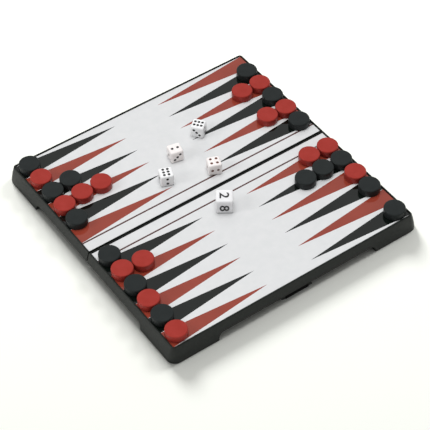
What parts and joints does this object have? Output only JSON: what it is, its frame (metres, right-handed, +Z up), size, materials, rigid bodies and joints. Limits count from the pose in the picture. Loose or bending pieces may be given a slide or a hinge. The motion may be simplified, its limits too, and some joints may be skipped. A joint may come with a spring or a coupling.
{
  "type": "backgammon set",
  "caption": "Folding travel backgammon set laid open: two shallow flared leaves on link hinges with printed magnetic play plates, disc checkers, dice and a doubling cube.",
  "frame": {"origin": "centre of the open board's footprint, at the table", "axes": "+Z up from the table; +Y from the front edge, which holds the latch, to the back edge; +X along the fold"},
  "size_m": [0.2128, 0.2168, 0.0259],
  "materials": {
    "case_moulding": "dark grey-green moulded plastic, satin",
    "insert_moulding": "thin black moulded tray, satin",
    "hinge_moulding": "black moulded plastic",
    "printed_steel": "white ground with red and black points, glossy print",
    "bare_steel": "plain bright steel",
    "red_checker": "red, softly glossy",
    "black_checker": "near-black, softly glossy",
    "white_dice": "white with dark pips or digits",
    "cream_dice": "cream with dark pips"
  },
  "bodies": {
    "front_leaf": {"front_case": "case_moulding", "front_play_plate": "printed_steel", "front_storage_insert": "insert_moulding", "front_hinge_rivet_left": "bare_steel", "front_hinge_rivet_right": "bare_steel", "latch_pin": "bare_steel"},
    "hinge_links": {"hinge_link_left": "hinge_moulding", "hinge_link_right": "hinge_moulding"},
    "back_leaf": {"back_case": "case_moulding", "back_play_plate": "printed_steel", "back_storage_insert": "insert_moulding", "back_hinge_rivet_left": "bare_steel", "back_hinge_rivet_right": "bare_steel", "latch_keeper": "bare_steel"},
    "latch": {"latch_flap": "hinge_moulding"},
    "red_checker_01": {"red_checker_01": "red_checker"},
    "red_checker_02": {"red_checker_02": "red_checker"},
    "red_checker_03": {"red_checker_03": "red_checker"},
    "red_checker_04": {"red_checker_04": "red_checker"},
    "red_checker_05": {"red_checker_05": "red_checker"},
    "red_checker_06": {"red_checker_06": "red_checker"},
    "red_checker_07": {"red_checker_07": "red_checker"},
    "red_checker_08": {"red_checker_08": "red_checker"},
    "red_checker_09": {"red_checker_09": "red_checker"},
    "red_checker_10": {"red_checker_10": "red_checker"},
    "red_checker_11": {"red_checker_11": "red_checker"},
    "red_checker_12": {"red_checker_12": "red_checker"},
    "red_checker_13": {"red_checker_13": "red_checker"},
    "red_checker_14": {"red_checker_14": "red_checker"},
    "red_checker_15": {"red_checker_15": "red_checker"},
    "black_checker_01": {"black_checker_01": "black_checker"},
    "black_checker_02": {"black_checker_02": "black_checker"},
    "black_checker_03": {"black_checker_03": "black_checker"},
    "black_checker_04": {"black_checker_04": "black_checker"},
    "black_checker_05": {"black_checker_05": "black_checker"},
    "black_checker_06": {"black_checker_06": "black_checker"},
    "black_checker_07": {"black_checker_07": "black_checker"},
    "black_checker_08": {"black_checker_08": "black_checker"},
    "black_checker_09": {"black_checker_09": "black_checker"},
    "black_checker_10": {"black_checker_10": "black_checker"},
    "black_checker_11": {"black_checker_11": "black_checker"},
    "black_checker_12": {"black_checker_12": "black_checker"},
    "black_checker_13": {"black_checker_13": "black_checker"},
    "black_checker_14": {"black_checker_14": "black_checker"},
    "black_checker_15": {"black_checker_15": "black_checker"},
    "white_die_1": {"white_die_1": "white_dice"},
    "white_die_2": {"white_die_2": "white_dice"},
    "cream_die_1": {"cream_die_1": "cream_dice"},
    "cream_die_2": {"cream_die_2": "cream_dice"},
    "doubling_cube": {"doubling_cube": "white_dice"}
  },
  "joints": [
    {"name": "front_fold", "type": "hinge", "parent": "front_leaf", "child": "hinge_links", "pos_m": [0, -0.00345, 0.0032], "axis": [-1, 0, 0], "range_deg": [0, 90]},
    {"name": "back_fold", "type": "hinge", "parent": "hinge_links", "child": "back_leaf", "pos_m": [0, 0.00345, 0.0032], "axis": [-1, 0, 0], "range_deg": [0, 90]},
    {"name": "latch_swing", "type": "hinge", "parent": "front_leaf", "child": "latch", "pos_m": [0, -0.1046, 0.0017], "axis": [1, 0, 0], "range_deg": [0, 180]},
    {"name": "red_checker_01_lift", "type": "slide", "parent": "back_leaf", "child": "red_checker_01", "axis": [0, 0, 1], "range_m": [0, 0.03]},
    {"name": "red_checker_02_lift", "type": "slide", "parent": "back_leaf", "child": "red_checker_02", "axis": [0, 0, 1], "range_m": [0, 0.03]},
    {"name": "red_checker_03_lift", "type": "slide", "parent": "back_leaf", "child": "red_checker_03", "axis": [0, 0, 1], "range_m": [0, 0.03]},
    {"name": "red_checker_04_lift", "type": "slide", "parent": "back_leaf", "child": "red_checker_04", "axis": [0, 0, 1], "range_m": [0, 0.03]},
    {"name": "red_checker_05_lift", "type": "slide", "parent": "front_leaf", "child": "red_checker_05", "axis": [0, 0, 1], "range_m": [0, 0.03]},
    {"name": "red_checker_06_lift", "type": "slide", "parent": "front_leaf", "child": "red_checker_06", "axis": [0, 0, 1], "range_m": [0, 0.03]},
    {"name": "red_checker_07_lift", "type": "slide", "parent": "front_leaf", "child": "red_checker_07", "axis": [0, 0, 1], "range_m": [0, 0.03]},
    {"name": "red_checker_08_lift", "type": "slide", "parent": "front_leaf", "child": "red_checker_08", "axis": [0, 0, 1], "range_m": [0, 0.03]},
    {"name": "red_checker_09_lift", "type": "slide", "parent": "back_leaf", "child": "red_checker_09", "axis": [0, 0, 1], "range_m": [0, 0.03]},
    {"name": "red_checker_10_lift", "type": "slide", "parent": "back_leaf", "child": "red_checker_10", "axis": [0, 0, 1], "range_m": [0, 0.03]},
    {"name": "red_checker_11_lift", "type": "slide", "parent": "back_leaf", "child": "red_checker_11", "axis": [0, 0, 1], "range_m": [0, 0.03]},
    {"name": "red_checker_12_lift", "type": "slide", "parent": "back_leaf", "child": "red_checker_12", "axis": [0, 0, 1], "range_m": [0, 0.03]},
    {"name": "red_checker_13_lift", "type": "slide", "parent": "front_leaf", "child": "red_checker_13", "axis": [0, 0, 1], "range_m": [0, 0.03]},
    {"name": "red_checker_14_lift", "type": "slide", "parent": "front_leaf", "child": "red_checker_14", "axis": [0, 0, 1], "range_m": [0, 0.03]},
    {"name": "red_checker_15_lift", "type": "slide", "parent": "front_leaf", "child": "red_checker_15", "axis": [0, 0, 1], "range_m": [0, 0.03]},
    {"name": "black_checker_01_lift", "type": "slide", "parent": "back_leaf", "child": "black_checker_01", "axis": [0, 0, 1], "range_m": [0, 0.03]},
    {"name": "black_checker_02_lift", "type": "slide", "parent": "back_leaf", "child": "black_checker_02", "axis": [0, 0, 1], "range_m": [0, 0.03]},
    {"name": "black_checker_03_lift", "type": "slide", "parent": "back_leaf", "child": "black_checker_03", "axis": [0, 0, 1], "range_m": [0, 0.03]},
    {"name": "black_checker_04_lift", "type": "slide", "parent": "back_leaf", "child": "black_checker_04", "axis": [0, 0, 1], "range_m": [0, 0.03]},
    {"name": "black_checker_05_lift", "type": "slide", "parent": "front_leaf", "child": "black_checker_05", "axis": [0, 0, 1], "range_m": [0, 0.03]},
    {"name": "black_checker_06_lift", "type": "slide", "parent": "front_leaf", "child": "black_checker_06", "axis": [0, 0, 1], "range_m": [0, 0.03]},
    {"name": "black_checker_07_lift", "type": "slide", "parent": "front_leaf", "child": "black_checker_07", "axis": [0, 0, 1], "range_m": [0, 0.03]},
    {"name": "black_checker_08_lift", "type": "slide", "parent": "back_leaf", "child": "black_checker_08", "axis": [0, 0, 1], "range_m": [0, 0.03]},
    {"name": "black_checker_09_lift", "type": "slide", "parent": "back_leaf", "child": "black_checker_09", "axis": [0, 0, 1], "range_m": [0, 0.03]},
    {"name": "black_checker_10_lift", "type": "slide", "parent": "back_leaf", "child": "black_checker_10", "axis": [0, 0, 1], "range_m": [0, 0.03]},
    {"name": "black_checker_11_lift", "type": "slide", "parent": "front_leaf", "child": "black_checker_11", "axis": [0, 0, 1], "range_m": [0, 0.03]},
    {"name": "black_checker_12_lift", "type": "slide", "parent": "front_leaf", "child": "black_checker_12", "axis": [0, 0, 1], "range_m": [0, 0.03]},
    {"name": "black_checker_13_lift", "type": "slide", "parent": "front_leaf", "child": "black_checker_13", "axis": [0, 0, 1], "range_m": [0, 0.03]},
    {"name": "black_checker_14_lift", "type": "slide", "parent": "front_leaf", "child": "black_checker_14", "axis": [0, 0, 1], "range_m": [0, 0.03]},
    {"name": "black_checker_15_lift", "type": "slide", "parent": "front_leaf", "child": "black_checker_15", "axis": [0, 0, 1], "range_m": [0, 0.03]},
    {"name": "white_die_1_lift", "type": "slide", "parent": "back_leaf", "child": "white_die_1", "axis": [0, 0, 1], "range_m": [0, 0.03]},
    {"name": "white_die_2_lift", "type": "slide", "parent": "back_leaf", "child": "white_die_2", "axis": [0, 0, 1], "range_m": [0, 0.03]},
    {"name": "cream_die_1_lift", "type": "slide", "parent": "back_leaf", "child": "cream_die_1", "axis": [0, 0, 1], "range_m": [0, 0.03]},
    {"name": "cream_die_2_lift", "type": "slide", "parent": "back_leaf", "child": "cream_die_2", "axis": [0, 0, 1], "range_m": [0, 0.03]},
    {"name": "doubling_cube_lift", "type": "slide", "parent": "front_leaf", "child": "doubling_cube", "axis": [0, 0, 1], "range_m": [0, 0.03]}
  ],
  "couplings": [
    {"joint": "front_fold", "follows": "back_fold", "ratio": 1}
  ]
}
